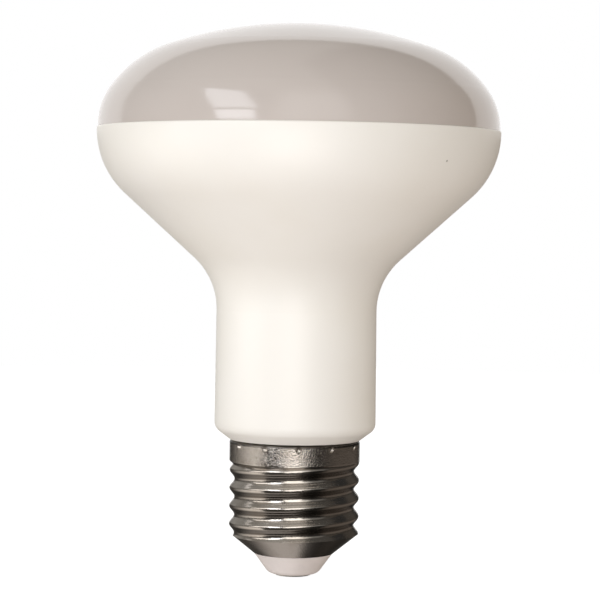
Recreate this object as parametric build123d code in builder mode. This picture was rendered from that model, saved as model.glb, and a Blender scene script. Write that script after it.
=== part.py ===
from build123d import *
import math
import os

# Reflector lamp in its own frame, in millimetres and degrees.
# The origin is the face of the centre contact, and +Z runs up the lamp's axis to the crown.

# Overall sizes
bulb_diameter = 80.6
cap_height = 27.4  # contact face to the top of the cap's collar
body_height = 62.0  # collar top to the seam under the diffuser
dome_height = 20.9  # seam to the crown

# Fits
plug_clearance = 0.1  # between pieces that plug into each other
seat_clearance = 0.05  # between the insulator and the shell that it fills

# Diffuser: three tangent arcs over a short straight land
diffuser_wall = 1.4
seam_step = 0.2  # the diffuser stands back from the housing's edge by this much
land_height = 0.4
shoulder_radius = 13.0
crown_angle = 19.4  # where the crown's arc gives way to the haunch
haunch_angle = 55.5  # where the haunch gives way to the shoulder
skirt_wall = 1.2
skirt_depth = 4.0
flange_thickness = 1.4

# Housing: bowl, neck, bevelled base and the spigot that carries the cap
housing_wall = 1.6
rim_land = 0.4
lip_round = 0.3
bowl_angle = 47.8  # the bowl's slope, from the axis
bowl_round = 17.2
flare_round = 13.8
neck_top_radius = 16.0
neck_foot_radius = 16.2
base_radius = 13.2
base_bevel = 37.0  # slope of the bevel, from level
base_round = 2.2
floor_thickness = 2.8
spigot_wall = 1.4
spigot_length = 13.6
spigot_seat_length = 3.4
guide_thickness = 1.0
guide_height = 22.0
guide_grip = 0.9  # how far a guide rib overlaps the edge of the driver board

# Cap shell: thin sheet with a rolled round thread
cap_wall = 0.3
collar_radius = 13.1
collar_length = 4.4
curl_radius = 0.8
collar_flank_angle = 45.0  # the slope from the collar into the first groove
collar_flank_run = 2.0
thread_radius = 13.05
thread_depth = 1.0
thread_pitch = 3.629
crest_height = 15.65  # a crest on the +X side
turns_below_crest = 4  # from that crest down to where the thread starts, inside the cone
cone_angle = 51.0
mouth_radius = 8.1
mouth_height = 4.5
dent_count = 12
dent_ball_radius = 0.7
dent_depth = 0.5
dent_drop = 1.0
dent_turn = 3.5  # the dent nearest the front stands this far round towards +X

# Insulator and centre contact
insulator_step = 0.15  # the insulator stands back from the shell's edge by this much
insulator_angle = 36.0
insulator_round = 2.0
insulator_top = 7.7
contact_radius = 3.6
contact_proud = 0.3
contact_thickness = 0.8
contact_edge_round = 0.15
pin_radius = 1.1
pin_top = 9.6

# Light deck: heat sink, LED board, chips and screws
deck_drop = 9.4  # seam down to the ledge that carries the heat sink
ledge_width = 1.6
ledge_depth = 4.0
sink_thickness = 1.5
sink_height = 5.0
sink_gap = 0.4
sink_inset = 9.3  # bulb's side in to the sink's wall
sink_bend = 2.0
lead_hole_radius = 3.5
led_board_inset = 2.5  # sink's wall in to the board's edge
led_board_thickness = 1.2
chip_length = 3.5
chip_width = 2.8
chip_height = 0.8
chip_bevel = 0.2
outer_ring_radius = 23.0
outer_ring_count = 12
inner_ring_radius = 12.0
inner_ring_count = 6
screw_ring_radius = 17.5
screw_count = 3
screw_turn = 30.0
screw_radius = 1.5
screw_head_radius = 2.75
screw_head_height = 1.8
screw_head_round = 0.8
screw_tail = 3.0

# Driver board and what stands on it
board_front = 3.0  # the component face stands this far behind the axis
driver_board_thickness = 1.2
driver_board_height = 33.0
board_side_gap = 0.4
capacitor_radius = 4.0
capacitor_length = 12.5
capacitor_round = 0.8
capacitor_score = 0.3
capacitor_place = (-5.0, 21.0)  # across the board, and up it
core_width = 10.0
core_height = 10.0
core_depth = 5.0
core_leg = 3.0
core_yoke = 2.0
winding_build = 1.8
winding_gap = 0.1
transformer_place = (5.5, 20.0)
rectifier_size = (5.0, 5.0, 2.2)
rectifier_place = (-7.5, 7.0)
chip_package_size = (5.0, 4.0, 1.5)
chip_package_place = (8.0, 8.0)
package_bevel = 0.4
resistor_radius = 1.25
resistor_length = 7.0
resistor_end_round = 0.6
resistor_leg_radius = 0.3
resistor_leg_bend = 0.8
resistor_span = 10.0
resistor_stand = 1.5
resistor_place = (0.0, 28.0)

# Leads
lead_radius = 0.5
lead_bend = 1.4
lead_reach = 3.0  # how far a lead stands off the board before it turns
mains_lead_rise = 2.2  # mains leads leave the board this far above its foot
live_lead_across = -3.0
neutral_lead_across = 4.5
output_lead_across = 1.6
output_lead_drop = 2.4  # output leads leave this far below the board's top
output_lead_loop = 3.0
output_lead_landing = 6.8
live_lead_straight = 7.0
live_lead_slant = 5.4
side_hole_clearance = 0.2
side_hole_margin = 0.3

# Heights and radii that follow from the sizes above
bulb_radius = bulb_diameter / 2
seam_height = cap_height + body_height
crown_height = seam_height + dome_height
dome_radius = bulb_radius - seam_step
collar_foot = cap_height - collar_length
thread_orbit = thread_depth / 2
root_bore = thread_radius - thread_depth - cap_wall
spigot_seat_radius = collar_radius - curl_radius - plug_clearance
spigot_nose_radius = root_bore - plug_clearance
spigot_bore = spigot_nose_radius - spigot_wall
spigot_end = cap_height - spigot_length
floor_height = cap_height + floor_thickness
neck_bore = min(neck_top_radius, neck_foot_radius) - housing_wall
board_back = board_front + driver_board_thickness
board_top = floor_height + driver_board_height
board_half_width = math.sqrt(neck_bore**2 - board_back**2) - board_side_gap
ledge_height = seam_height - deck_drop
sink_top = ledge_height + sink_height
sink_radius = bulb_radius - sink_inset
led_board_radius = sink_radius - led_board_inset
led_board_top = sink_top + led_board_thickness
dent_height = cap_height - dent_drop
dent_centre_radius = collar_radius - dent_depth + dent_ball_radius
lead_plane = board_front - lead_reach
side_hole_radius = lead_radius + side_hole_clearance
neutral_lead_height = cap_height - spigot_seat_length + side_hole_radius + side_hole_margin
mains_lead_height = floor_height + mains_lead_rise
output_lead_height = board_top - output_lead_drop


def chord(radius, offset):
    """Half the width of a circle at a distance from its centre."""
    return math.sqrt(radius**2 - offset**2)


def wall_bore(height):
    """Radius inside the housing where its bowl is rounded."""
    return bulb_radius - bowl_round + chord(bowl_round - housing_wall, seam_height - rim_land - height)


def dome_radii():
    """Crown and haunch radii that bring the dome to its rim with upright sides."""
    crown_turn = math.radians(crown_angle)
    haunch_turn = math.radians(haunch_angle)
    haunch_run = math.sin(haunch_turn) - math.sin(crown_turn)
    haunch_fall = math.cos(crown_turn) - math.cos(haunch_turn)
    crown_run = math.sin(crown_turn)
    crown_fall = 1 - math.cos(crown_turn)
    run = dome_radius - shoulder_radius * (1 - math.sin(haunch_turn))
    fall = dome_height - land_height - shoulder_radius * math.cos(haunch_turn)
    share = crown_run * haunch_fall - crown_fall * haunch_run
    crown = (run * haunch_fall - fall * haunch_run) / share
    haunch = (fall * crown_run - run * crown_fall) / share
    return crown, haunch


def dome_outline(inset):
    """The dome's outline in the active line, from the crown out and down to the seam."""
    crown_radius, haunch_radius = dome_radii()
    crown = JernArc((0, crown_height - inset), (1, 0), crown_radius - inset, -crown_angle)
    haunch = JernArc(crown @ 1, crown % 1, haunch_radius - inset, crown_angle - haunch_angle)
    shoulder = JernArc(haunch @ 1, haunch % 1, shoulder_radius - inset, haunch_angle - 90)
    Polyline(
        shoulder @ 1,
        (dome_radius - inset, seam_height),
        (0, seam_height),
        (0, crown_height - inset),
    )


def bowl_outline(inset, foot):
    """Bowl and neck as a list of corners and the rounds between them, down to a foot height."""
    half_turn = math.tan(math.radians(bowl_angle / 2))
    bowl_top = seam_height - rim_land - bowl_round * half_turn
    bowl_fall = (bulb_radius - neck_top_radius) / math.tan(math.radians(bowl_angle))
    lift = inset * half_turn
    corners = [
        (bulb_radius - inset, seam_height),
        (bulb_radius - inset, bowl_top + lift),
        (neck_top_radius - inset, bowl_top - bowl_fall + lift),
        (neck_foot_radius - inset, foot),
    ]
    return corners, [bowl_round - inset, flare_round + inset]


def cap_body(inset):
    """The cap's outer form, or with an inset the hollow inside its sheet."""
    collar_side = collar_radius - inset
    flank_top = collar_foot + inset * math.tan(math.radians(collar_flank_angle / 2))
    flank_foot = flank_top - collar_flank_run * math.tan(math.radians(collar_flank_angle))
    cone_run = collar_radius
    cone_rise = cone_run / math.tan(math.radians(cone_angle))
    mouth = mouth_radius - inset / math.cos(math.radians(cone_angle))
    thread_start = crest_height - turns_below_crest * thread_pitch
    thread_end = cap_height - collar_length / 2
    with BuildPart() as body:
        # A round section that circles the axis without turning leaves a rolled round thread
        with BuildLine() as orbit:
            Helix(thread_pitch, thread_end - thread_start, thread_orbit, center=(0, 0, thread_start))
        with BuildSketch(Plane.XY.offset(thread_start)):
            with Locations((thread_orbit, 0)):
                Circle(thread_radius - thread_orbit - inset)
        sweep(path=orbit.line, normal=(0, 0, 1))
        # The collar, with a flank that leads into the first groove and a curled top edge
        with BuildSketch(Plane.XZ):
            with BuildLine():
                side = Polyline(
                    (0, flank_foot),
                    (collar_side - collar_flank_run, flank_foot),
                    (collar_side, flank_top),
                    (collar_side, cap_height - curl_radius),
                )
                curl = JernArc(side @ 1, (0, 1), curl_radius - inset, 90)
                Polyline(curl @ 1, (0, cap_height - inset), (0, flank_foot))
            make_face()
        revolve(axis=Axis.Z)
        # The cone trims the lowest turns down to the mouth
        with BuildSketch(Plane.XZ):
            with BuildLine():
                Polyline(
                    (0, mouth_height),
                    (mouth, mouth_height),
                    (mouth + cone_run, mouth_height + cone_rise),
                    (mouth + cone_run, thread_start - thread_pitch),
                    (0, thread_start - thread_pitch),
                    close=True,
                )
            make_face()
        revolve(axis=Axis.Z, mode=Mode.SUBTRACT)
        with Locations((0, 0, dent_height)):
            with PolarLocations(dent_centre_radius, dent_count, start_angle=dent_turn - 90):
                Sphere(dent_ball_radius + inset, mode=Mode.SUBTRACT)
    return body


def lead(route, bend):
    """A round lead along straight runs and tangent bends."""
    with BuildPart() as wire:
        with BuildLine() as path:
            FilletPolyline(*route, radius=bend)
        with BuildSketch(Plane(origin=path.line @ 0, z_dir=path.line % 0)):
            Circle(lead_radius)
        sweep(path=path.line)
    return wire


def on_board(place):
    """A plane on the component face of the driver board, facing off it."""
    across, up = place
    return Plane(origin=(across, board_front, floor_height + up), x_dir=(1, 0, 0), z_dir=(0, -1, 0))


os.makedirs("parts", exist_ok=True)

# Diffuser: a thin dome with a flange that sits on the housing and a skirt that plugs into it
with BuildPart() as diffuser:
    skirt_foot = seam_height - skirt_depth
    skirt_inner = wall_bore(skirt_foot) - plug_clearance - skirt_wall
    with BuildSketch(Plane.XZ):
        with BuildLine():
            dome_outline(0)
        make_face()
        with BuildLine():
            dome_outline(diffuser_wall)
        make_face(mode=Mode.SUBTRACT)
        with Locations((skirt_inner, seam_height)):
            Rectangle(
                dome_radius - diffuser_wall / 2 - skirt_inner,
                flange_thickness,
                align=(Align.MIN, Align.MIN),
            )
        with Locations((skirt_inner, skirt_foot)):
            Rectangle(skirt_wall, skirt_depth, align=(Align.MIN, Align.MIN))
    revolve(axis=Axis.Z)
diffuser.part.label = "diffuser"
export_step(diffuser.part, "parts/diffuser.step")

# Housing: one moulding from the rim to the end of the spigot
with BuildPart() as housing:
    with BuildSketch(Plane.XZ):
        with BuildLine():
            base_rise = (neck_foot_radius - base_radius) * math.tan(math.radians(base_bevel))
            corners, rounds = bowl_outline(0, cap_height + base_rise)
            FilletPolyline(
                (0, seam_height),
                *corners,
                (base_radius, cap_height),
                (spigot_seat_radius, cap_height),
                (spigot_seat_radius, cap_height - spigot_seat_length),
                (spigot_nose_radius, cap_height - spigot_seat_length),
                (spigot_nose_radius, spigot_end),
                (0, spigot_end),
                radius=[0, lip_round, *rounds, base_round, 0, 0, 0, 0, 0, 0],
                close=True,
            )
        make_face()
    revolve(axis=Axis.Z)
    with BuildSketch(Plane.XZ):
        with BuildLine():
            corners, rounds = bowl_outline(housing_wall, floor_height)
            FilletPolyline(
                (0, seam_height),
                *corners,
                (0, floor_height),
                radius=[0, 0, *rounds, 0, 0],
                close=True,
            )
        make_face()
        # The heat sink's ledge stays solid down to the wall below it
        with Locations((wall_bore(ledge_height) - ledge_width, ledge_height)):
            Rectangle(bulb_radius, ledge_depth, align=(Align.MIN, Align.MAX), mode=Mode.SUBTRACT)
    revolve(axis=Axis.Z, mode=Mode.SUBTRACT)
    with BuildSketch(Plane.XY.offset(spigot_end)):
        Circle(spigot_bore)
    extrude(amount=floor_height - spigot_end, mode=Mode.SUBTRACT)
    # Two pairs of ribs guide the edges of the driver board
    with BuildSketch(Plane.XY.offset(floor_height)):
        for rib_front in (board_front - plug_clearance - guide_thickness, board_back + plug_clearance):
            rib_inner = board_half_width - guide_grip
            rib_outer = chord(neck_bore + housing_wall / 2, rib_front + guide_thickness)
            for side in (-1, 1):
                with Locations((side * (rib_inner + rib_outer) / 2, rib_front + guide_thickness / 2)):
                    Rectangle(rib_outer - rib_inner, guide_thickness)
    extrude(amount=guide_height)
    # The neutral lead leaves the spigot through a side hole
    with BuildSketch(Plane.YZ):
        with Locations((lead_plane, neutral_lead_height)):
            Circle(side_hole_radius)
    extrude(amount=collar_radius, mode=Mode.SUBTRACT)
    with Locations((0, 0, dent_height)):
        with PolarLocations(dent_centre_radius, dent_count, start_angle=dent_turn - 90):
            Sphere(dent_ball_radius + cap_wall + seat_clearance, mode=Mode.SUBTRACT)
housing.part.label = "housing"
export_step(housing.part, "parts/housing.step")

# Screw shell: the cap's outer form less the hollow inside its sheet
cap_form = cap_body(0)
cap_hollow = cap_body(cap_wall)
with BuildPart() as screw_shell:
    add(cap_form.part)
    add(cap_hollow.part, mode=Mode.SUBTRACT)
    with BuildSketch(Plane.XY.offset(cap_height)):
        Circle(collar_radius - curl_radius)
    extrude(amount=-curl_radius, mode=Mode.SUBTRACT)
screw_shell.part.label = "screw_shell"
export_step(screw_shell.part, "parts/screw_shell.step")

# Insulator: moulded into the cone, with a collar below the mouth and a tapered, rounded foot
with BuildPart() as insulator:
    with BuildSketch(Plane.XZ):
        with BuildLine():
            cone_slope = math.tan(math.radians(cone_angle))
            edge_height = mouth_height - seat_clearance
            edge_radius = mouth_radius - insulator_step
            foot_radius = edge_radius - (edge_height - contact_proud) * math.tan(math.radians(insulator_angle))
            throat = mouth_radius - cap_wall / math.cos(math.radians(cone_angle))
            cone_shift = seat_clearance / math.cos(math.radians(cone_angle))
            throat_rise = (cone_shift - seat_clearance) / cone_slope
            FilletPolyline(
                (0, contact_proud),
                (foot_radius, contact_proud),
                (edge_radius, edge_height),
                (throat - seat_clearance, edge_height),
                (throat - seat_clearance, mouth_height + throat_rise),
                (throat - cone_shift + (insulator_top - mouth_height) * cone_slope, insulator_top),
                (0, insulator_top),
                radius=[0, insulator_round, 0, 0, 0, 0, 0],
                close=True,
            )
        make_face()
    revolve(axis=Axis.Z)
    with BuildSketch(Plane.XY.offset(contact_proud)):
        Circle(contact_radius + seat_clearance)
    extrude(amount=contact_thickness - contact_proud, mode=Mode.SUBTRACT)
    with BuildSketch(Plane.XY.offset(contact_proud)):
        Circle(pin_radius + seat_clearance)
    extrude(amount=insulator_top, mode=Mode.SUBTRACT)
insulator.part.label = "insulator"
export_step(insulator.part, "parts/insulator.step")

# Centre contact: a flat head on a pin that reaches the live lead
with BuildPart() as contact_pin:
    with BuildSketch():
        Circle(contact_radius)
    extrude(amount=contact_thickness)
    with BuildSketch():
        Circle(pin_radius)
    extrude(amount=pin_top)
    fillet(contact_pin.edges().group_by(Axis.Z)[0], contact_edge_round)
contact_pin.part.label = "contact_pin"
export_step(contact_pin.part, "parts/contact_pin.step")

# Heat sink: a pressed hat whose flange sits on the housing's ledge
with BuildPart() as heat_sink:
    with BuildSketch(Plane.XZ):
        with BuildLine():
            flange_radius = wall_bore(ledge_height) - sink_gap
            inner_bend = sink_bend - sink_thickness
            FilletPolyline(
                (lead_hole_radius, sink_top),
                (sink_radius, sink_top),
                (sink_radius, ledge_height + sink_thickness),
                (flange_radius, ledge_height + sink_thickness),
                (flange_radius, ledge_height),
                (sink_radius - sink_thickness, ledge_height),
                (sink_radius - sink_thickness, sink_top - sink_thickness),
                (lead_hole_radius, sink_top - sink_thickness),
                radius=[0, sink_bend, inner_bend, 0, 0, sink_bend, inner_bend, 0],
                close=True,
            )
        make_face()
    revolve(axis=Axis.Z)
    with BuildSketch(Plane.XY.offset(ledge_height)):
        with PolarLocations(screw_ring_radius, screw_count, start_angle=screw_turn):
            Circle(screw_radius + plug_clearance)
    extrude(amount=sink_height, mode=Mode.SUBTRACT)
heat_sink.part.label = "heat_sink"
export_step(heat_sink.part, "parts/heat_sink.step")

# LED board: a metal-core disc
with BuildPart() as led_board:
    with BuildSketch(Plane.XY.offset(sink_top)):
        Circle(led_board_radius)
        Circle(lead_hole_radius, mode=Mode.SUBTRACT)
        with PolarLocations(screw_ring_radius, screw_count, start_angle=screw_turn):
            Circle(screw_radius + plug_clearance, mode=Mode.SUBTRACT)
    extrude(amount=led_board_thickness)
led_board.part.label = "led_board"
export_step(led_board.part, "parts/led_board.step")

# LED chips: two rings of packages on the board
with BuildPart() as led_chips:
    with BuildSketch(Plane.XY.offset(led_board_top)):
        with PolarLocations(outer_ring_radius, outer_ring_count):
            Rectangle(chip_width, chip_length)
        with PolarLocations(inner_ring_radius, inner_ring_count):
            Rectangle(chip_width, chip_length)
    extrude(amount=chip_height)
    chamfer(led_chips.edges().group_by(Axis.Z)[-1], chip_bevel)
led_chips.part.label = "led_chips"
export_step(led_chips.part, "parts/led_chips.step")

# Board screws: round heads over plain shanks
with BuildPart() as board_screws:
    with BuildSketch(Plane.XY.offset(led_board_top)):
        with PolarLocations(screw_ring_radius, screw_count, start_angle=screw_turn):
            Circle(screw_head_radius)
    extrude(amount=screw_head_height)
    fillet(board_screws.edges().group_by(Axis.Z)[-1], screw_head_round)
    with BuildSketch(Plane.XY.offset(sink_top - sink_thickness - screw_tail)):
        with PolarLocations(screw_ring_radius, screw_count, start_angle=screw_turn):
            Circle(screw_radius)
    extrude(amount=screw_tail + sink_thickness + led_board_thickness)
board_screws.part.label = "board_screws"
export_step(board_screws.part, "parts/board_screws.step")

# Driver board: stands on the housing's floor between the guide ribs
with BuildPart() as driver_board:
    with BuildSketch(Plane.XY.offset(floor_height)):
        with Locations((0, board_front + driver_board_thickness / 2)):
            Rectangle(2 * board_half_width, driver_board_thickness)
    extrude(amount=driver_board_height)
driver_board.part.label = "driver_board"
export_step(driver_board.part, "parts/driver_board.step")

# Smoothing capacitor: a round can with a scored end
with BuildPart() as smoothing_capacitor:
    with BuildSketch(on_board(capacitor_place)):
        Circle(capacitor_radius)
    extrude(amount=capacitor_length)
    fillet(smoothing_capacitor.edges().sort_by(Axis.Y)[0], capacitor_round)
    with BuildSketch(on_board(capacitor_place).offset(capacitor_length)):
        for turn in (0, 90):
            Rectangle(capacitor_radius, capacitor_score, rotation=turn)
    extrude(amount=-capacitor_score, mode=Mode.SUBTRACT)
smoothing_capacitor.part.label = "smoothing_capacitor"
export_step(smoothing_capacitor.part, "parts/smoothing_capacitor.step")

# Transformer core: a ferrite frame with a middle leg
with BuildPart() as transformer_core:
    with BuildSketch(on_board(transformer_place).offset(winding_build + winding_gap)):
        window_width = core_width / 2 - core_leg
        Rectangle(core_width, core_height)
        with GridLocations(core_leg + window_width, 0, 2, 1):
            Rectangle(window_width, core_height - 2 * core_yoke, mode=Mode.SUBTRACT)
    extrude(amount=core_depth)
transformer_core.part.label = "transformer_core"
export_step(transformer_core.part, "parts/transformer_core.step")

# Transformer winding: wraps the middle leg and stands on the board
with BuildPart() as transformer_winding:
    across, up = transformer_place
    winding_height = core_height - 2 * core_yoke - 2 * winding_gap
    winding_wall = 2 * (winding_build + winding_gap)
    with BuildSketch(Plane.XY.offset(floor_height + up - winding_height / 2)):
        with Locations((across, board_front - (core_depth + winding_wall) / 2)):
            RectangleRounded(core_leg + winding_wall, core_depth + winding_wall, winding_build)
            Rectangle(core_leg + 2 * winding_gap, core_depth + 2 * winding_gap, mode=Mode.SUBTRACT)
    extrude(amount=winding_height)
transformer_winding.part.label = "transformer_winding"
export_step(transformer_winding.part, "parts/transformer_winding.step")

# Bridge rectifier: a flat moulded package
with BuildPart() as bridge_rectifier:
    width, height, depth = rectifier_size
    with BuildSketch(on_board(rectifier_place)):
        Rectangle(width, height)
    extrude(amount=depth)
    chamfer(bridge_rectifier.edges().group_by(Axis.Y)[0], package_bevel)
bridge_rectifier.part.label = "bridge_rectifier"
export_step(bridge_rectifier.part, "parts/bridge_rectifier.step")

# Driver chip: a smaller package of the same form
with BuildPart() as driver_chip:
    width, height, depth = chip_package_size
    with BuildSketch(on_board(chip_package_place)):
        Rectangle(width, height)
    extrude(amount=depth)
    chamfer(driver_chip.edges().group_by(Axis.Y)[0], package_bevel)
driver_chip.part.label = "driver_chip"
export_step(driver_chip.part, "parts/driver_chip.step")

# Fuse resistor: a round body carried clear of the board on its two legs
with BuildPart() as fuse_resistor:
    across, up = resistor_place
    resistor_height = floor_height + up
    leg_plane = board_front - resistor_stand
    with BuildSketch(Plane.YZ.offset(across - resistor_length / 2)):
        with Locations((leg_plane, resistor_height)):
            Circle(resistor_radius)
    extrude(amount=resistor_length)
    fillet(fuse_resistor.edges().filter_by(GeomType.CIRCLE), resistor_end_round)
    with BuildLine() as legs:
        FilletPolyline(
            (across - resistor_span / 2, board_front, resistor_height),
            (across - resistor_span / 2, leg_plane, resistor_height),
            (across + resistor_span / 2, leg_plane, resistor_height),
            (across + resistor_span / 2, board_front, resistor_height),
            radius=resistor_leg_bend,
        )
    with BuildSketch(Plane(origin=legs.line @ 0, z_dir=legs.line % 0)):
        Circle(resistor_leg_radius)
    sweep(path=legs.line)
fuse_resistor.part.label = "fuse_resistor"
export_step(fuse_resistor.part, "parts/fuse_resistor.step")

# Live lead: down the spigot to the centre pin
live_lead = lead(
    [
        (live_lead_across, board_front, mains_lead_height),
        (live_lead_across, lead_plane, mains_lead_height),
        (live_lead_across, lead_plane, pin_top + live_lead_straight + live_lead_slant),
        (0, 0, pin_top + live_lead_straight),
        (0, 0, pin_top),
    ],
    lead_bend,
)
live_lead.part.label = "live_lead"
export_step(live_lead.part, "parts/live_lead.step")

# Neutral lead: out through the side of the spigot to the collar
neutral_lead = lead(
    [
        (neutral_lead_across, board_front, mains_lead_height),
        (neutral_lead_across, lead_plane, mains_lead_height),
        (neutral_lead_across, lead_plane, neutral_lead_height),
        (collar_radius - cap_wall - seat_clearance, lead_plane, neutral_lead_height),
    ],
    lead_bend,
)
neutral_lead.part.label = "neutral_lead"
export_step(neutral_lead.part, "parts/neutral_lead.step")


def output_lead(side):
    """A lead that rises through the heat sink and lands on the LED board."""
    return lead(
        [
            (side * output_lead_across, board_front, output_lead_height),
            (side * output_lead_across, lead_plane, output_lead_height),
            (side * output_lead_across, lead_plane, led_board_top + output_lead_loop),
            (side * output_lead_landing, lead_plane, led_board_top + output_lead_loop),
            (side * output_lead_landing, lead_plane, led_board_top),
        ],
        lead_bend,
    )


# Output leads: one to each side of the board's middle hole
positive_lead = output_lead(1)
positive_lead.part.label = "positive_lead"
export_step(positive_lead.part, "parts/positive_lead.step")
negative_lead = output_lead(-1)
negative_lead.part.label = "negative_lead"
export_step(negative_lead.part, "parts/negative_lead.step")
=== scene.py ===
"""Reflector bulb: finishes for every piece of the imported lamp, and the studio that it is shown in."""
import math

import bmesh
import bpy
from bpy.props import FloatProperty, FloatVectorProperty, PointerProperty
from mathutils import Matrix, Vector


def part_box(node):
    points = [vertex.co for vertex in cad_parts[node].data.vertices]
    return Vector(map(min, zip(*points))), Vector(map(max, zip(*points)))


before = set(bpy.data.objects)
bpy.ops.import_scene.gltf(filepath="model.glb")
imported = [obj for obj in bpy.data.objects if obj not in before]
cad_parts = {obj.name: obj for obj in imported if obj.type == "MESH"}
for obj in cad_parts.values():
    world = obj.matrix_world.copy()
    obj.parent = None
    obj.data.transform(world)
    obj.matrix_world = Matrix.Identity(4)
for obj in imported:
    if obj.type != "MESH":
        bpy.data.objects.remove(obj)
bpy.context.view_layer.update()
MM = 0.001
CHIP_RINGS = (12 * MM, 23 * MM)
RESISTOR_LENGTH = 7 * MM

bl_info = {
    "name": "Reflector Bulb",
    "version": (1, 0, 0),
    "blender": (4, 5, 0),
    "location": "3D View > Sidebar > Bulb",
    "description": "Finishes a reflector bulb and sets up the studio that shows it",
    "category": "Object",
}


def srgb(red, green, blue):
    """A colour given as 8-bit display values, as the linear values that shaders take."""
    def linear(level):
        share = level / 255
        return share / 12.92 if share <= 0.04045 else ((share + 0.055) / 1.055) ** 2.4
    return linear(red), linear(green), linear(blue)


def opaque(colour, strength=1.0):
    """A colour as the four numbers that a colour socket holds."""
    return (*[strength * channel for channel in colour], 1.0)


def middle(node):
    """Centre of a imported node's box."""
    low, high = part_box(node)
    return (Vector(low) + Vector(high)) / 2


# Shader maths


class Wire:
    """A shader socket that takes part in Python arithmetic and adds the Math nodes it needs."""

    def __init__(self, tree, socket):
        self.tree = tree
        self.socket = socket

    def math(self, operation, *values):
        return self.tree.node("ShaderNodeMath", {"operation": operation}, dict(enumerate((self, *values))))

    def swapped(self, operation, value):
        return self.tree.node("ShaderNodeMath", {"operation": operation}, {0: value, 1: self})

    def __add__(self, other):
        return self.math("ADD", other)

    def __radd__(self, other):
        return self.math("ADD", other)

    def __sub__(self, other):
        return self.math("SUBTRACT", other)

    def __rsub__(self, other):
        return self.swapped("SUBTRACT", other)

    def __mul__(self, other):
        return self.math("MULTIPLY", other)

    def __rmul__(self, other):
        return self.math("MULTIPLY", other)

    def __truediv__(self, other):
        return self.math("DIVIDE", other)

    def __rtruediv__(self, other):
        return self.swapped("DIVIDE", other)

    def __abs__(self):
        return self.math("ABSOLUTE")

    def __neg__(self):
        return self.math("MULTIPLY", -1.0)

    def rising(self, start, end):
        """0 below start and 1 above end, with a smooth step between them."""
        sockets = {"Value": self, "From Min": start, "From Max": end}
        return self.tree.node("ShaderNodeMapRange", {"interpolation_type": "SMOOTHSTEP"}, sockets)

    def within(self, low, high, edge):
        """1 between two values and 0 outside them, with soft edges."""
        return self.rising(low - edge, low + edge) * (1 - self.rising(high - edge, high + edge))


class Tree:
    """A node tree that is written from empty."""

    def __init__(self, owner):
        owner.use_nodes = True
        self.nodes = owner.node_tree.nodes
        self.links = owner.node_tree.links
        self.nodes.clear()

    def node(self, kind, settings=None, sockets=None, output=0):
        """Makes any node from its type, its settings, its sockets' values or links, and the output to use."""
        made = self.nodes.new(kind)
        for name, value in (settings or {}).items():
            setattr(made, name, value)
        for name, value in (sockets or {}).items():
            if isinstance(value, Wire):
                self.links.new(value.socket, made.inputs[name])
            else:
                made.inputs[name].default_value = value
        return Wire(self, made.outputs[output]) if made.outputs else None

    def place(self):
        """Position on the piece, in metres in the lamp's own frame."""
        return self.node("ShaderNodeTexCoord", output="Object")

    def parts(self, vector):
        """X, Y and Z of a vector, as values."""
        split = self.node("ShaderNodeSeparateXYZ", sockets={"Vector": vector}).socket.node
        return [Wire(self, output) for output in split.outputs]

    def noise(self, vector, size, detail=2.0, roughness=0.5, output=0):
        """Noise whose features are about as large as size, in metres."""
        sockets = {"Vector": vector, "Scale": 1 / size, "Detail": detail, "Roughness": roughness}
        return self.node("ShaderNodeTexNoise", sockets=sockets, output=output)

    def stretch(self, vector, scale):
        """A vector multiplied by one factor for each axis."""
        return self.node("ShaderNodeVectorMath", {"operation": "MULTIPLY"}, {0: vector, 1: scale})

    def blend(self, factor, first, second):
        """One colour where the factor is 0 and the other where it is 1."""
        return self.node("ShaderNodeMix", {"data_type": "RGBA"}, {0: factor, 6: first, 7: second}, output=2)

    def around(self, centre=(0, 0)):
        """Distance from an upright axis, angle round it in radians, and height."""
        x, y, z = self.parts(self.place())
        across = x - centre[0]
        deep = y - centre[1]
        return (across * across + deep * deep).math("SQRT"), across.math("ARCTAN2", deep), z


class Finish(Tree):
    """A material with one principled shader."""

    def __init__(self, name, **constants):
        self.material = bpy.data.materials.new(name)
        super().__init__(self.material)
        self.shader = self.node("ShaderNodeBsdfPrincipled", sockets=constants).socket.node
        self.node("ShaderNodeOutputMaterial", sockets={"Surface": Wire(self, self.shader.outputs[0])})

    def feed(self, socket, wire):
        self.links.new(wire.socket, self.shader.inputs[socket])

    def bump(self, height, depth):
        """Raises the surface by up to depth, in metres, where height is 1."""
        sockets = {"Height": height, "Distance": depth, "Strength": 1.0}
        self.feed("Normal", self.node("ShaderNodeBump", sockets=sockets))

    def wear(self, piece):
        piece.data.materials.clear()
        piece.data.materials.append(self.material)


# What a user would change


class HousingLook(bpy.types.PropertyGroup):
    """The white moulding."""

    colour: FloatVectorProperty(
        name="Colour", description="Warm white of the moulding",
        subtype="COLOR", default=srgb(252, 249, 242))
    cloud: FloatVectorProperty(
        name="Cloud", description="Slightly deeper white of its faint flow clouds",
        subtype="COLOR", default=srgb(249, 245, 236))
    gloss: FloatProperty(
        name="Roughness", description="Satin of the moulded skin",
        subtype="FACTOR", min=0, max=1, default=0.42)
    grain: FloatProperty(
        name="Grain", description="Size of the mould's fine grain",
        unit="LENGTH", precision=5, default=0.28 * MM)
    speck: FloatVectorProperty(
        name="Speck", description="Place of a dark speck in the bowl's skin",
        subtype="TRANSLATION", unit="LENGTH", precision=5, default=(27.83 * MM, -27.51 * MM, 82.78 * MM))
    speck_size: FloatProperty(
        name="Speck size", description="Radius of the speck",
        unit="LENGTH", precision=5, default=0.28 * MM)


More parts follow.
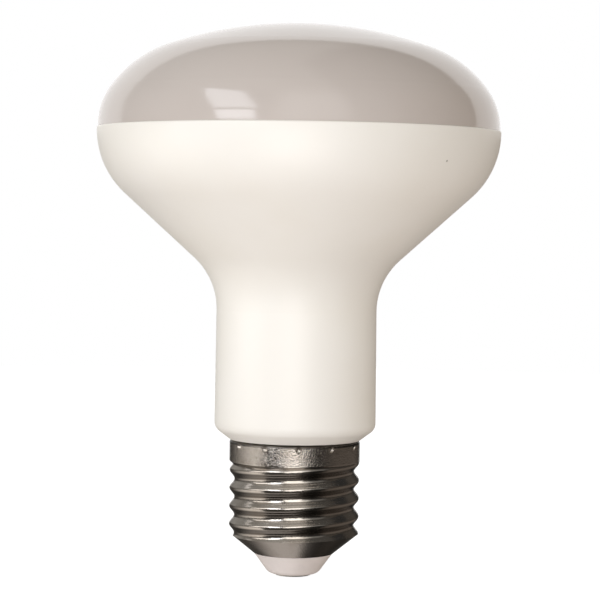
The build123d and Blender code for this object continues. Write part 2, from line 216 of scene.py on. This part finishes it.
class DiffuserLook(bpy.types.PropertyGroup):
    """The milky dome."""

    colour: FloatVectorProperty(
        name="Colour", description="Warm grey of the unlit diffuser",
        subtype="COLOR", default=srgb(206, 197, 190))
    # Painted shade: the dome's colour turns to this deeper grey towards the crown
    depth: FloatVectorProperty(
        name="Depth", description="Deeper grey towards the crown, over the dark inside of the lamp",
        subtype="COLOR", default=srgb(201, 191, 184))
    gloss: FloatProperty(
        name="Roughness", description="Polish of the dome",
        subtype="FACTOR", min=0, max=1, default=0.13)


class CapLook(bpy.types.PropertyGroup):
    """The nickel shell, its insulator and its contact."""

    nickel: FloatVectorProperty(
        name="Nickel", description="Warm grey of the plating",
        subtype="COLOR", default=(0.5, 0.46, 0.415))
    tarnish: FloatVectorProperty(
        name="Tarnish", description="Browner patches in the plating",
        subtype="COLOR", default=(0.4, 0.355, 0.31))
    gloss: FloatProperty(
        name="Roughness", description="Polish of the rolled sheet",
        subtype="FACTOR", min=0, max=1, default=0.17)
    grain: FloatProperty(
        name="Grain", description="Size of the grain on the collar",
        unit="LENGTH", precision=5, default=0.24 * MM)
    pitch: FloatProperty(
        name="Pitch", description="Pitch of the rolled thread",
        unit="LENGTH", precision=6, default=3.629 * MM)
    collar: FloatProperty(
        name="Collar", description="Height of the plain collar",
        unit="LENGTH", precision=5, default=4.4 * MM)
    # The curl's height also sets a band of painted shade under the housing's lip
    curl: FloatProperty(
        name="Curl", description="Height of the curled edge, where dirt gathers",
        unit="LENGTH", precision=5, default=0.8 * MM)
    insulator: FloatVectorProperty(
        name="Insulator", description="Pinkish white of the insulator",
        subtype="COLOR", default=srgb(240, 231, 226))
    contact: FloatVectorProperty(
        name="Contact", description="Dull metal of the centre contact",
        subtype="COLOR", default=(0.42, 0.38, 0.32))


class StudioLook(bpy.types.PropertyGroup):
    """Camera, lights and floor."""

    lens: FloatProperty(
        name="Lens", description="Focal length on a 36 mm sensor", unit="CAMERA", default=128.6)
    distance: FloatProperty(
        name="Distance", description="From the camera to the point it looks at",
        unit="LENGTH", default=0.43)
    aim: FloatVectorProperty(
        name="Aim", description="Point in the middle of the picture",
        subtype="TRANSLATION", unit="LENGTH", precision=5, default=(0.66 * MM, 0.0, 55.3 * MM))
    pitch: FloatProperty(
        name="Pitch", description="How far the camera looks down",
        unit="ROTATION", default=math.radians(2.16))
    roll: FloatProperty(
        name="Roll", description="Turn of the camera about its view",
        unit="ROTATION", default=math.radians(0.8))
    window: FloatVectorProperty(
        name="Window", description="Radiance of the window's panes",
        subtype="COLOR", default=(3.34, 3.42, 3.6))
    fill_card: FloatVectorProperty(
        name="Fill card", description="Radiance of the card that lights the neck",
        subtype="COLOR", default=(2.2, 2.12, 2.1))
    front_card: FloatVectorProperty(
        name="Front card", description="Radiance of the front card that the cap shows",
        subtype="COLOR", default=(2.5, 2.45, 2.4))
    side_card: FloatVectorProperty(
        name="Side card", description="Radiance of the left card that the cap shows",
        subtype="COLOR", default=(2.2, 2.15, 2.1))
    under: FloatVectorProperty(
        name="Under", description="Radiance of the table below",
        subtype="COLOR", default=(1.15, 1.08, 1.05))
    shelf: FloatVectorProperty(
        name="Shelf", description="Radiance of the table to the left",
        subtype="COLOR", default=(1.2, 1.15, 1.1))
    left: FloatVectorProperty(
        name="Left", description="Radiance of the left wall", subtype="COLOR", default=(1.0, 1.0, 0.97))
    right: FloatVectorProperty(
        name="Right", description="Radiance of the right wall",
        subtype="COLOR", default=(0.34, 0.3, 0.26))
    bench: FloatVectorProperty(
        name="Bench", description="Radiance of the table to the right",
        subtype="COLOR", default=(0.75, 0.64, 0.56))
    front: FloatVectorProperty(
        name="Front", description="Radiance of the wall behind the camera",
        subtype="COLOR", default=(1.08, 1.07, 1.04))
    ceiling: FloatVectorProperty(
        name="Ceiling", description="Radiance of the ceiling",
        subtype="COLOR", default=(0.42, 0.41, 0.39))
    behind: FloatVectorProperty(
        name="Behind", description="Radiance of the room behind",
        subtype="COLOR", default=(0.3, 0.29, 0.28))
    board: FloatVectorProperty(
        name="Board", description="Radiance of the white board behind the dome",
        subtype="COLOR", default=(1.15, 1.14, 1.14))


# Finishes of the visible pieces


def housing_plastic(look):
    """Satin white moulding with faint flow clouds, fine grain and one dark speck."""
    finish = Finish("housing_plastic", IOR=1.4)
    place = finish.place()
    cloud = finish.noise(place, 32 * MM, detail=3.0)
    grain = finish.noise(place, look.grain, detail=2.0)
    speck_sockets = {0: place, 1: tuple(look.speck)}
    away = finish.node("ShaderNodeVectorMath", {"operation": "DISTANCE"}, speck_sockets, output="Value")
    speck = 1 - away.rising(look.speck_size * 0.5, look.speck_size)
    colour = finish.blend(cloud.rising(0.35, 0.7), opaque(look.colour), opaque(look.cloud))
    finish.feed("Base Color", finish.blend(speck * 0.6, colour, opaque(srgb(120, 105, 90))))
    finish.feed("Roughness", look.gloss + (grain - 0.5) * 0.12 + (cloud - 0.5) * 0.08)
    finish.bump(grain, 0.006 * MM)
    return finish


def diffuser_plastic(look):
    """Polished milky plastic, with painted shade that makes it a little deeper in colour towards the crown.
    """
    finish = Finish("diffuser_plastic", IOR=1.585)
    low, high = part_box("diffuser")
    place = finish.place()
    height = finish.parts(place)[2]
    cloud = finish.noise(place, 24 * MM, detail=3.0)
    ripple = finish.noise(place, 3.2 * MM, detail=1.0)
    # Painted shade: deeper towards the crown, with random clouds mixed in
    deep = height.rising(low[2], high[2]) * 0.7 + cloud * 0.3
    finish.feed("Base Color", finish.blend(deep, opaque(look.colour), opaque(look.depth)))
    finish.feed("Roughness", look.gloss + (cloud - 0.5) * 0.05)
    finish.bump(ripple, 0.004 * MM)
    return finish


def nickel_sheet(look):
    """Rolled nickel-plated sheet: a grainy collar, ridges along the thread, and painted shade under the
    housing's lip and on the thread's down-facing flanks.
    """
    finish = Finish("nickel_sheet", Metallic=1.0)
    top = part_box("screw_shell")[1][2]
    angle, height = finish.around()[1:]
    place = finish.place()
    facing = finish.parts(finish.node("ShaderNodeNewGeometry", output="Normal"))[2]
    stain = finish.noise(place, 6 * MM, detail=4.0)
    grain = finish.noise(place, look.grain, detail=1.0)
    collar_foot = top - look.collar
    collar = height.rising(collar_foot - 0.1 * MM, collar_foot + 0.3 * MM)
    cone_top = 8.7 * MM
    fade = 0.5 * MM
    thread = height.rising(cone_top - fade, cone_top + fade) * (1 - collar)
    # The rolls leave ridges that run along the thread, a whole number to each turn
    ridges_per_turn = 5
    turn = height * (2 * math.pi / look.pitch) + angle
    ridges = (turn * ridges_per_turn).math("SINE") * 0.5 + 0.5
    # Painted shade: a dark band at the top of the collar, under the housing's lip, made uneven by the stain
    # noise
    painted_lip_shade = height.rising(top - look.curl * 1.2, top - look.curl * 0.7) * (0.6 + stain * 0.5)
    # Painted shade: darker where the thread's flanks face down
    painted_flank_shade = (-facing).rising(0.25, 0.6) * thread * 0.55
    # Both painted shades darken the plating towards a near-black colour
    dark = (painted_lip_shade + painted_flank_shade).math("MINIMUM", 0.9)
    plating = finish.blend(stain.rising(0.45, 0.75), opaque(look.nickel), opaque(look.tarnish))
    painted_shade_colour = opaque([0.12 * channel for channel in look.tarnish])
    finish.feed("Base Color", finish.blend(dark, plating, painted_shade_colour))
    finish.feed("Roughness", look.gloss + (stain - 0.5) * 0.14)
    finish.bump(grain * (0.15 + collar * 0.85) + ridges * thread * 0.4, 0.075 * MM)
    return finish


def insulator_body(look):
    """Matt fired body with fine pores and a few darker clouds."""
    finish = Finish("insulator_body", IOR=1.5)
    place = finish.place()
    cloud = finish.noise(place, 5 * MM, detail=4.0)
    pores = finish.noise(place, 0.35 * MM, detail=2.0)
    darker = opaque([0.9 * channel for channel in look.insulator])
    finish.feed("Base Color", finish.blend(cloud.rising(0.4, 0.8), opaque(look.insulator), darker))
    finish.feed("Roughness", 0.42 + (pores - 0.5) * 0.2)
    finish.bump(pores, 0.012 * MM)
    return finish


def contact_metal(look):
    """Dull contact with rings left by turning."""
    finish = Finish("contact_metal", Metallic=1.0)
    distance = finish.around()[0]
    rings = (distance * (2 * math.pi / (0.25 * MM))).math("SINE")
    stain = finish.noise(finish.place(), 1.5 * MM, detail=4.0)
    darker = opaque([0.5 * channel for channel in look.contact])
    finish.feed("Base Color", finish.blend(stain.rising(0.4, 0.7), opaque(look.contact), darker))
    finish.feed("Roughness", 0.34 + (stain - 0.5) * 0.3)
    finish.bump(rings, 0.004 * MM)
    return finish


# Finishes of the pieces inside


def pressed_aluminium():
    """Mill-finish sheet with faint rolling lines."""
    finish = Finish("pressed_aluminium", Metallic=1.0)
    place = finish.place()
    lines = finish.noise(finish.stretch(place, (1.0, 0.02, 1.0)), 0.4 * MM, detail=3.0)
    cloud = finish.noise(place, 12 * MM, detail=3.0)
    finish.feed("Base Color", finish.blend(cloud, opaque((0.78, 0.79, 0.8)), opaque((0.68, 0.69, 0.7))))
    finish.feed("Roughness", 0.3 + lines * 0.16)
    finish.bump(lines, 0.01 * MM)
    return finish


def white_board(ring_radii):
    """White solder mask over copper rings that link the chips."""
    finish = Finish("white_board", IOR=1.5)
    distance = finish.around()[0]
    track = 0
    for radius in ring_radii:
        track = distance.within(radius - 1.2 * MM, radius + 1.2 * MM, 0.08 * MM) + track
    mottle = finish.noise(finish.place(), 0.8 * MM)
    mask = opaque(srgb(240, 240, 236))
    over_copper = opaque(srgb(222, 216, 204))
    finish.feed("Base Color", finish.blend(track * 0.7, mask, over_copper))
    finish.feed("Roughness", 0.36 + (mottle - 0.5) * 0.16)
    finish.bump(track * 0.8 + mottle * 0.2, 0.04 * MM)
    return finish


def phosphor():
    """Chips with a white frame and a yellow window on top."""
    finish = Finish("phosphor", IOR=1.45)
    facing = finish.parts(finish.node("ShaderNodeNewGeometry", output="Normal"))[2]
    grain = finish.noise(finish.place(), 0.12 * MM)
    window = facing.rising(0.9, 0.96)
    yellow = finish.blend(grain, opaque(srgb(246, 214, 92)), opaque(srgb(236, 190, 58)))
    finish.feed("Base Color", finish.blend(window, opaque(srgb(238, 237, 230)), yellow))
    finish.feed("Roughness", 0.5 - window * 0.2)
    finish.bump(grain, 0.008 * MM)
    return finish


def plated_steel():
    """Plated screws with short scratches."""
    finish = Finish("plated_steel", Metallic=1.0)
    place = finish.place()
    scratch = finish.noise(finish.stretch(place, (1.0, 0.15, 1.0)), 0.25 * MM, detail=4.0)
    finish.feed("Base Color", finish.blend(scratch, opaque((0.72, 0.71, 0.69)), opaque((0.55, 0.54, 0.52))))
    finish.feed("Roughness", 0.22 + scratch * 0.2)
    finish.bump(scratch, 0.006 * MM)
    return finish


def board_laminate():
    """Green laminate: the weave shows through the mask, and tracks run up and across."""
    finish = Finish("board_laminate", IOR=1.5)
    x, _, z = finish.parts(finish.place())
    strands = 2 * math.pi / (0.6 * MM)
    weave = (x * strands).math("SINE") * (z * strands).math("SINE")
    flat = finish.node("ShaderNodeCombineXYZ", sockets={0: x, 1: z})
    bricks = {
        "Vector": flat,
        "Scale": 1.0,
        "Mortar Size": 0.35 * MM,
        "Brick Width": 9 * MM,
        "Row Height": 3 * MM,
    }
    track = finish.node("ShaderNodeTexBrick", {"offset": 0.37}, bricks, output="Fac")
    green = finish.blend(track, opaque(srgb(20, 84, 50)), opaque(srgb(64, 132, 74)))
    finish.feed("Base Color", green)
    finish.feed("Roughness", 0.38 + weave * 0.05)
    finish.bump(weave * 0.2 + track, 0.02 * MM)
    return finish


def capacitor_sleeve():
    """Dark shrink sleeve with a pale stripe, and a bare aluminium end."""
    finish = Finish("capacitor_sleeve", IOR=1.5)
    centre = middle("smoothing_capacitor")
    x, _, z = finish.parts(finish.place())
    angle = (x - centre.x).math("ARCTAN2", z - centre.z)
    facing = finish.parts(finish.node("ShaderNodeNewGeometry", output="Normal"))[1]
    end = (-facing).rising(0.85, 0.95)
    stripe = angle.within(0.4, 1.2, 0.02)
    wrinkle = finish.noise(finish.place(), 1.1 * MM, detail=3.0)
    sleeve = finish.blend(stripe, opaque(srgb(34, 36, 48)), opaque(srgb(170, 176, 186)))
    finish.feed("Base Color", finish.blend(end, sleeve, opaque((0.74, 0.75, 0.76))))
    finish.feed("Metallic", end)
    finish.feed("Roughness", 0.28 + wrinkle * 0.16)
    finish.bump(wrinkle, 0.02 * MM)
    return finish


def ferrite():
    """Fired black ferrite with pale chips."""
    finish = Finish("ferrite", IOR=1.6)
    place = finish.place()
    chips = finish.node("ShaderNodeTexVoronoi", sockets={"Vector": place, "Scale": 1 / (0.9 * MM)})
    grain = finish.noise(place, 0.3 * MM, detail=4.0)
    fleck = 1 - chips.rising(0.06, 0.16)
    finish.feed("Base Color", finish.blend(fleck, opaque(srgb(44, 44, 47)), opaque(srgb(96, 95, 94))))
    finish.feed("Roughness", 0.55 + (grain - 0.5) * 0.3)
    finish.bump(grain, 0.03 * MM)
    return finish


def winding_tape():
    """Turns of yellow tape, with the wire below showing as fine ridges."""
    finish = Finish("winding_tape", IOR=1.55)
    height = finish.parts(finish.place())[2]
    turns = (height * (2 * math.pi / (0.45 * MM))).math("SINE")
    cloud = finish.noise(finish.place(), 2.2 * MM, detail=3.0)
    finish.feed("Base Color", finish.blend(cloud, opaque(srgb(236, 196, 62)), opaque(srgb(206, 160, 40))))
    finish.feed("Roughness", 0.26 + cloud * 0.14)
    finish.bump(turns * 0.5 + cloud * 0.5, 0.02 * MM)
    return finish


def black_moulding():
    """Moulded package with a fine spark-eroded grain."""
    finish = Finish("black_moulding", IOR=1.55)
    grain = finish.noise(finish.place(), 0.14 * MM, detail=3.0)
    finish.feed("Base Color", finish.blend(grain, opaque(srgb(26, 26, 28)), opaque(srgb(44, 44, 46))))
    finish.feed("Roughness", 0.52 + grain * 0.2)
    finish.bump(grain, 0.02 * MM)
    return finish


def resistor_body(body_length):
    """Lacquered body with colour bands, between tinned legs."""
    finish = Finish("resistor_body", IOR=1.5)
    centre = middle("fuse_resistor")
    along = finish.parts(finish.place())[0] - centre.x
    lacquer = finish.noise(finish.place(), 0.9 * MM, detail=3.0)
    colour = finish.blend(lacquer, opaque(srgb(120, 164, 172)), opaque(srgb(98, 142, 152)))
    for place, band in ((-2.3, srgb(120, 66, 36)), (-1.1, srgb(30, 28, 28)), (0.1, srgb(170, 130, 54))):
        stripe = along.within((place - 0.28) * MM, (place + 0.28) * MM, 0.04 * MM)
        colour = finish.blend(stripe, colour, opaque(band))
    leg = abs(along).rising(body_length / 2 - 0.05 * MM, body_length / 2 + 0.05 * MM)
    finish.feed("Base Color", finish.blend(leg, colour, opaque((0.74, 0.73, 0.71))))
    finish.feed("Metallic", leg)
    finish.feed("Roughness", 0.3 + lacquer * 0.14)
    finish.bump(lacquer, 0.03 * MM)
    return finish


def insulation(name, colour):
    """Soft wire insulation."""
    finish = Finish(name, IOR=1.5)
    dust = finish.noise(finish.place(), 0.7 * MM, detail=3.0)
    deeper = [0.82 * channel for channel in colour]
    finish.feed("Base Color", finish.blend(dust, opaque(colour), opaque(deeper)))
    finish.feed("Roughness", 0.34 + dust * 0.16)
    finish.bump(dust, 0.015 * MM)
    return finish


# Operators


class BULB_OT_housing(bpy.types.Operator):
    """Finish the white moulding"""

    bl_idname = "bulb.housing"
    bl_label = "Housing"

    def execute(self, context):
        housing_plastic(context.scene.bulb_housing).wear(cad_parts["housing"])
        return {"FINISHED"}


class BULB_OT_diffuser(bpy.types.Operator):
    """Finish the milky dome"""

    bl_idname = "bulb.diffuser"
    bl_label = "Diffuser"

    def execute(self, context):
        diffuser_plastic(context.scene.bulb_diffuser).wear(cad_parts["diffuser"])
        return {"FINISHED"}


class BULB_OT_cap(bpy.types.Operator):
    """Finish the screw shell, the insulator and the centre contact"""

    bl_idname = "bulb.cap"
    bl_label = "Screw cap"

    def execute(self, context):
        look = context.scene.bulb_cap
        nickel_sheet(look).wear(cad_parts["screw_shell"])
        insulator_body(look).wear(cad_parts["insulator"])
        contact_metal(look).wear(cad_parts["contact_pin"])
        return {"FINISHED"}


class BULB_OT_light_deck(bpy.types.Operator):
    """Finish the heat sink, the LED board, its chips and its screws"""

    bl_idname = "bulb.light_deck"
    bl_label = "Light deck"

    def execute(self, context):
        pressed_aluminium().wear(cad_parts["heat_sink"])
        white_board(CHIP_RINGS).wear(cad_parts["led_board"])
        phosphor().wear(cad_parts["led_chips"])
        plated_steel().wear(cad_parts["board_screws"])
        return {"FINISHED"}


class BULB_OT_driver(bpy.types.Operator):
    """Finish the driver board, the parts on it and the leads"""

    bl_idname = "bulb.driver"
    bl_label = "Driver"

    def execute(self, context):
        board_laminate().wear(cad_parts["driver_board"])
        capacitor_sleeve().wear(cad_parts["smoothing_capacitor"])
        ferrite().wear(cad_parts["transformer_core"])
        winding_tape().wear(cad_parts["transformer_winding"])
        moulding = black_moulding()
        moulding.wear(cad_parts["bridge_rectifier"])
        moulding.wear(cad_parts["driver_chip"])
        resistor_body(RESISTOR_LENGTH).wear(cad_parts["fuse_resistor"])
        red = insulation("red_insulation", srgb(186, 40, 34))
        red.wear(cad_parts["live_lead"])
        red.wear(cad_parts["positive_lead"])
        insulation("white_insulation", srgb(238, 238, 234)).wear(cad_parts["neutral_lead"])
        insulation("black_insulation", srgb(34, 34, 36)).wear(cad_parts["negative_lead"])
        return {"FINISHED"}


def toward(azimuth, elevation):
    """Unit vector to a place in the room: azimuth from the camera's side to the right, then up."""
    turn = math.radians(azimuth)
    rise = math.radians(elevation)
    return Vector((math.sin(turn) * math.cos(rise), -math.cos(turn) * math.cos(rise), math.sin(rise)))


def stage_mesh(name, faces):
    """A stage object from lists of corners, one list for each face."""
    mesh = bpy.data.meshes.new(name)
    shape = bmesh.new()
    for corners in faces:
        shape.faces.new([shape.verts.new(corner) for corner in corners])
    shape.to_mesh(mesh)
    shape.free()
    piece = bpy.data.objects.new(name, mesh)
    bpy.context.scene.collection.objects.link(piece)
    return piece


def glow(name, colour):
    """A surface that only gives light."""
    material = bpy.data.materials.new(name)
    tree = Tree(material)
    light = tree.node("ShaderNodeEmission", sockets={"Color": opaque(colour)})
    tree.node("ShaderNodeOutputMaterial", sockets={"Surface": light})
    return material


def window_panes(look):
    """Two panes of a window to the front left, which is the key light."""
    centre = Vector((0, 0, 90 * MM))
    reach = 1.0
    panes = {
        "window_upper_pane": (1.05, ((-68.5, 44.6), (-36.7, 43.1), (-23.0, 18.4), (-48.5, 17.3))),
        "window_lower_pane": (1.45, ((-47.1, 14.3), (-25.1, 15.5), (-23.0, 2.5), (-43.8, 2.5))),
    }
    for name, (share, corners) in panes.items():
        pane = stage_mesh(name, [[centre + reach * toward(*corner) for corner in corners]])
        pane.data.materials.append(glow(name, [share * channel for channel in look.window]))
        pane.visible_camera = False


def upright(name, reach, turns, heights):
    """A flat upright card at a distance from the axis, between two azimuths and two heights."""
    ends = [reach * toward(turn, 0) for turn in turns]
    low = [end + Vector((0, 0, heights[0])) for end in ends]
    high = [end + Vector((0, 0, heights[1])) for end in reversed(ends)]
    return stage_mesh(name, [low + high])


def cards(look):
    """Low cards in front and on the left, and a flag that keeps the rim board out of the cap."""
    top = 86 * MM
    fill = upright("fill_card", 200 * MM, (-20, 17), (-60 * MM, top))
    fill.data.materials.append(glow("fill_card", look.fill_card))
    front = upright("front_card", 110 * MM, (-17, 14), (5 * MM, top))
    front.data.materials.append(glow("front_card", look.front_card))
    side = upright("side_card", 105 * MM, (-82, -48), (34 * MM, top))
    side.data.materials.append(glow("side_card", look.side_card))
    level = 88 * MM
    near, far = 44 * MM, 240 * MM
    depth = 60 * MM
    corners = [(near, 0, level), (far, 0, level), (far, depth, level), (near, depth, level)]
    flag = stage_mesh("flag", [corners])
    flag.data.materials.append(glow("flag", (0.03, 0.03, 0.03)))
    for card in (fill, front, side, flag):
        card.visible_camera = False
        card.visible_shadow = False
    # The fill card only lights, and the others only show in gloss
    fill.visible_glossy = False
    for card in (front, side, flag):
        card.visible_diffuse = False


def rim_board(look):
    """An arched board close behind the dome: only gloss shows it, as the pale rim round the dome."""
    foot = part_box("housing")[1][2]
    depth = 45 * MM
    half_width = 152 * MM
    rise = 90 * MM
    steps = 48
    arch = []
    for step in range(steps + 1):
        turn = math.pi * step / steps
        arch.append((half_width * math.cos(turn), depth, foot + rise * math.sin(turn)))
    board = stage_mesh("board_behind", [arch])
    board.data.materials.append(glow("board_behind", look.board))
    board.visible_camera = False
    board.visible_diffuse = False
    board.visible_shadow = False


def room(look):
    """The world: white where the camera looks, and for the rest the room that lights the lamp."""
    world = bpy.data.worlds.new("studio")
    bpy.context.scene.world = world
    tree = Tree(world)
    x, y, z = tree.parts(tree.node("ShaderNodeTexCoord", output="Generated"))
    # Azimuth runs from the camera's side to the right and height from the level up, both in degrees
    azimuth = x.math("ARCTAN2", -y) * (180 / math.pi)
    height = z.math("ARCSINE") * (180 / math.pi)
    path = tree.node("ShaderNodeLightPath").socket.node.outputs
    camera = Wire(tree, path["Is Camera Ray"])
    glossy = Wire(tree, path["Is Glossy Ray"])
    through = Wire(tree, path["Is Transmission Ray"])
    near = 1 - height.rising(-65, -35)
    low = (1 - near) * (1 - height.rising(-4, -1))
    high = height.rising(35, 60)
    level = height.rising(-1, 8) * (1 - high)
    dull = level * (1 - glossy * 0.75)
    below = near * (1 - x.rising(0.0, 0.3)) * (1 - glossy * 0.5)
    areas = (
        (below, look.under),
        ((1 - azimuth.rising(-63, -56)) * azimuth.rising(-150, -65) * low, look.shelf),
        ((-azimuth).within(75, 160, 12) * dull, look.left),
        (azimuth.within(65, 150, 12) * level, look.right),
        (azimuth.within(60, 150, 12) * low, look.bench),
        (azimuth.within(-12, 60, 10) * level, look.front),
        (y.rising(0.4, 0.8) * dull, look.behind),
        (high, look.ceiling),
    )
    shade = opaque((0.06, 0.056, 0.05))
    for share, colour in areas:
        sockets = {0: share, 6: shade, 7: opaque(colour)}
        shade = tree.node("ShaderNodeMix", {"data_type": "RGBA", "blend_type": "ADD"}, sockets, output=2)
    dark_card = azimuth.within(28, 165, 6) * glossy
    shade = tree.blend(dark_card * 0.8, shade, opaque((0.0, 0.0, 0.0)))
    backdrop = y.rising(0.95, 0.98) * (glossy + through)
    seen = tree.blend((camera + backdrop).math("MINIMUM", 1.0), shade, opaque((1.0, 1.0, 1.0)))
    background = tree.node("ShaderNodeBackground", sockets={"Color": seen, "Strength": 1.0})
    tree.node("ShaderNodeOutputWorld", sockets={"Surface": background})


def floor():
    """A white floor that only the camera sees, bright enough to hide the lamp's shadow."""
    radius = 0.6
    sides = 96
    edge = Vector((radius, 0, -0.2 * MM))
    rim = [Matrix.Rotation(2 * math.pi * side / sides, 3, "Z") @ edge for side in range(sides)]
    piece = stage_mesh("floor", [rim])
    material = bpy.data.materials.new("floor_white")
    tree = Tree(material)
    paper = tree.node("ShaderNodeBsdfDiffuse", sockets={"Color": opaque((0.35, 0.35, 0.35))})
    white = tree.node("ShaderNodeEmission", sockets={"Strength": 0.9})
    lit = tree.node("ShaderNodeAddShader", sockets={0: paper, 1: white})
    tree.node("ShaderNodeOutputMaterial", sockets={"Surface": lit})
    piece.data.materials.append(material)
    piece.visible_diffuse = False
    piece.visible_glossy = False
    piece.visible_shadow = False


def camera(look):
    """The camera at the picture's viewing angle."""
    data = bpy.data.cameras.new("camera")
    data.lens = look.lens
    data.clip_start = 0.01
    piece = bpy.data.objects.new("camera", data)
    bpy.context.scene.collection.objects.link(piece)
    turn = Matrix.Rotation(math.pi / 2 - look.pitch, 4, "X") @ Matrix.Rotation(look.roll, 4, "Z")
    back = turn.to_3x3() @ Vector((0, 0, look.distance))
    piece.matrix_world = Matrix.Translation(Vector(look.aim) + back) @ turn
    bpy.context.scene.camera = piece


class BULB_OT_studio(bpy.types.Operator):
    """Set up the floor, the lights and the camera"""

    bl_idname = "bulb.studio"
    bl_label = "Studio"

    def execute(self, context):
        look = context.scene.bulb_studio
        floor()
        window_panes(look)
        cards(look)
        rim_board(look)
        room(look)
        camera(look)
        context.scene.view_settings.view_transform = "Standard"
        return {"FINISHED"}


class BULB_PT_panel(bpy.types.Panel):
    """Lists the lamp's pieces and what can be changed"""

    bl_idname = "BULB_PT_panel"
    bl_label = "Reflector bulb"
    bl_space_type = "VIEW_3D"
    bl_region_type = "UI"
    bl_category = "Bulb"

    def draw(self, context):
        for operator in OPERATORS:
            self.layout.operator(operator.bl_idname)
        for name in LOOKS:
            look = getattr(context.scene, name)
            box = self.layout.box()
            box.label(text=look.bl_rna.description)
            for key in LOOKS[name].__annotations__:
                box.prop(look, key)


LOOKS = {
    "bulb_housing": HousingLook,
    "bulb_diffuser": DiffuserLook,
    "bulb_cap": CapLook,
    "bulb_studio": StudioLook,
}
OPERATORS = (
    BULB_OT_housing,
    BULB_OT_diffuser,
    BULB_OT_cap,
    BULB_OT_light_deck,
    BULB_OT_driver,
    BULB_OT_studio,
)


def register():
    for name, look in LOOKS.items():
        bpy.utils.register_class(look)
        setattr(bpy.types.Scene, name, PointerProperty(type=look))
    for operator in OPERATORS:
        bpy.utils.register_class(operator)
    bpy.utils.register_class(BULB_PT_panel)


def unregister():
    bpy.utils.unregister_class(BULB_PT_panel)
    for operator in reversed(OPERATORS):
        bpy.utils.unregister_class(operator)
    for name, look in reversed(LOOKS.items()):
        delattr(bpy.types.Scene, name)
        bpy.utils.unregister_class(look)


def main():
    register()
    bpy.ops.bulb.housing()
    bpy.ops.bulb.diffuser()
    bpy.ops.bulb.cap()
    bpy.ops.bulb.light_deck()
    bpy.ops.bulb.driver()
    bpy.ops.bulb.studio()


if __name__ == "__main__":
    main()
